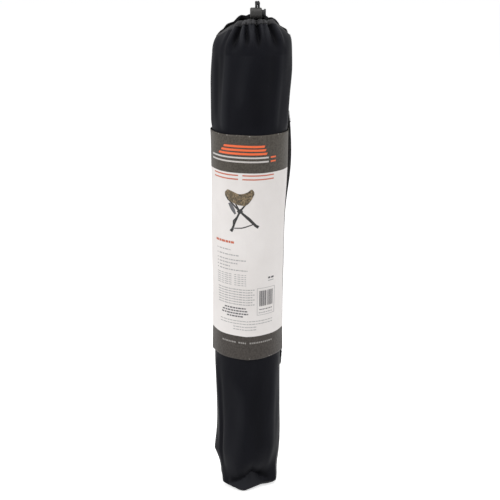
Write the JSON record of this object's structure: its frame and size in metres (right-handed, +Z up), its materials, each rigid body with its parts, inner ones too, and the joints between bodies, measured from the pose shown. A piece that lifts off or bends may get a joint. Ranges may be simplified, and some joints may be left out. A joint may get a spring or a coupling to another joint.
{
  "type": "three leg stool",
  "caption": "Folding tripod stool with a cloth seat, packed upright in a drawstring carry bag with a card sleeve.",
  "frame": {"origin": "centre of the bag's flat base, where the packed stool stands", "axes": "+Z up along the packed stool's length, -Y towards the front of the card sleeve"},
  "size_m": [0.1135, 0.1082, 0.7025],
  "materials": {
    "bag_cloth": "matte woven synthetic",
    "bag_binding": "folded hem",
    "black_webbing": "woven webbing",
    "cord": "braided cord",
    "card_sleeve": "satin coated card",
    "lock_plastic": "moulded",
    "button_plastic": "moulded",
    "spring_steel": "bright wire",
    "black_tube": "satin powder coat",
    "hub_plastic": "glass filled nylon",
    "pin_steel": "black oxide",
    "washer_plastic": "natural nylon",
    "foot_rubber": "moulded",
    "plug_plastic": "moulded",
    "rivet_steel": "blackened",
    "seat_cloth": "printed woven cloth",
    "pocket_cloth": "heavy woven cloth",
    "pouch_cloth": "grey woven cloth"
  },
  "bodies": {
    "carry_bag": {"bag_shell": "bag_cloth", "bag_base": "bag_cloth", "bag_mouth": "bag_cloth", "mouth_hem": "bag_binding", "drawstring": "cord", "label_sleeve": "card_sleeve", "carry_strap": "black_webbing"},
    "stool_hub": {"pivot_hub": "hub_plastic", "pivot_pins": "pin_steel", "pivot_spacers": "washer_plastic"},
    "leg_1": {"leg_tube_1": "black_tube", "leg_foot_1": "foot_rubber", "leg_plug_1": "plug_plastic", "seat_pocket_1": "pocket_cloth", "pocket_rivet_1": "rivet_steel"},
    "leg_2": {"leg_tube_2": "black_tube", "leg_foot_2": "foot_rubber", "leg_plug_2": "plug_plastic", "seat_pocket_2": "pocket_cloth", "pocket_rivet_2": "rivet_steel", "strap_loop_2": "black_webbing"},
    "leg_3": {"leg_tube_3": "black_tube", "leg_foot_3": "foot_rubber", "leg_plug_3": "plug_plastic", "seat_pocket_3": "pocket_cloth", "pocket_rivet_3": "rivet_steel", "strap_loop_3": "black_webbing", "side_pouch": "pouch_cloth"},
    "seat": {"seat_sling": "seat_cloth"},
    "seat_left_edge": {"seat_left_hem": "seat_cloth"},
    "seat_right_edge": {"seat_right_hem": "seat_cloth"},
    "foot_strap": {"foot_strap": "black_webbing"},
    "foot_strap_left": {"foot_strap_left_end": "black_webbing"},
    "foot_strap_right": {"foot_strap_right_end": "black_webbing"},
    "cord_lock": {"lock_barrel": "lock_plastic", "lock_spring": "spring_steel"},
    "lock_button": {"lock_button": "button_plastic"}
  },
  "joints": [
    {"name": "stool_unpack", "type": "slide", "parent": "carry_bag", "child": "stool_hub", "axis": [0.5306, 0.8337, -0.1529], "range_m": [0, 0.3958], "deforming": ["bag_shell", "bag_base", "bag_mouth", "mouth_hem", "label_sleeve", "carry_strap", "seat_sling", "seat_left_hem", "seat_right_hem", "foot_strap", "foot_strap_left_end", "foot_strap_right_end", "side_pouch", "seat_pocket_1", "seat_pocket_2", "seat_pocket_3", "strap_loop_2", "strap_loop_3", "drawstring"]},
    {"name": "leg_1_pivot", "type": "hinge", "parent": "stool_hub", "child": "leg_1", "pos_m": [0.02182, -0.00249, 0.3163], "axis": [0.9936, -0.1132, 0], "range_deg": [0, 38]},
    {"name": "leg_2_pivot", "type": "hinge", "parent": "stool_hub", "child": "leg_2", "pos_m": [-0.00876, 0.02014, 0.3163], "axis": [-0.3987, 0.9171, 0], "range_deg": [0, 38]},
    {"name": "leg_3_pivot", "type": "hinge", "parent": "stool_hub", "child": "leg_3", "pos_m": [-0.01306, -0.01765, 0.3163], "axis": [-0.5948, -0.8039, 0], "range_deg": [0, 38]},
    {"name": "seat_unfold", "type": "hinge", "parent": "stool_hub", "child": "seat", "pos_m": [0, -0.03625, 0.47199], "axis": [1, 0, 0], "range_deg": [0, 90]},
    {"name": "seat_left_stretch", "type": "slide", "parent": "seat", "child": "seat_left_edge", "axis": [-0.9947, 0.103, 0], "range_m": [0, 0.13592]},
    {"name": "seat_right_stretch", "type": "slide", "parent": "seat", "child": "seat_right_edge", "axis": [0.9947, 0.103, 0], "range_m": [0, 0.13592]},
    {"name": "foot_strap_drop", "type": "slide", "parent": "stool_hub", "child": "foot_strap", "axis": [-0.2491, -0.9685, 0], "range_m": [0, 0.11079]},
    {"name": "foot_strap_left_stretch", "type": "slide", "parent": "foot_strap", "child": "foot_strap_left", "axis": [-0.9685, 0.2491, 0], "range_m": [0, 0.11237]},
    {"name": "foot_strap_right_stretch", "type": "slide", "parent": "foot_strap", "child": "foot_strap_right", "axis": [0.9685, -0.2491, 0], "range_m": [0, 0.11237]},
    {"name": "cord_lock_slide", "type": "slide", "parent": "carry_bag", "child": "cord_lock", "axis": [0, 0, 1], "range_m": [0, 0.002]},
    {"name": "lock_button_press", "type": "slide", "parent": "cord_lock", "child": "lock_button", "axis": [-1, 0, 0], "range_m": [0, 0.0025], "stiffness_N_per_m": 900, "springref_m": -0.0015, "deforming": ["lock_spring"]}
  ],
  "couplings": [
    {"joint": "leg_1_pivot", "follows": "stool_unpack", "rad_per_m": 1.6756},
    {"joint": "leg_2_pivot", "follows": "stool_unpack", "rad_per_m": 1.6756},
    {"joint": "leg_3_pivot", "follows": "stool_unpack", "rad_per_m": 1.6756},
    {"joint": "seat_unfold", "follows": "stool_unpack", "rad_per_m": 3.9686},
    {"joint": "seat_left_stretch", "follows": "stool_unpack", "ratio": 0.3434},
    {"joint": "seat_right_stretch", "follows": "stool_unpack", "ratio": 0.3434},
    {"joint": "foot_strap_drop", "follows": "stool_unpack", "ratio": 0.27991},
    {"joint": "foot_strap_left_stretch", "follows": "stool_unpack", "ratio": 0.2839},
    {"joint": "foot_strap_right_stretch", "follows": "stool_unpack", "ratio": 0.2839}
  ]
}
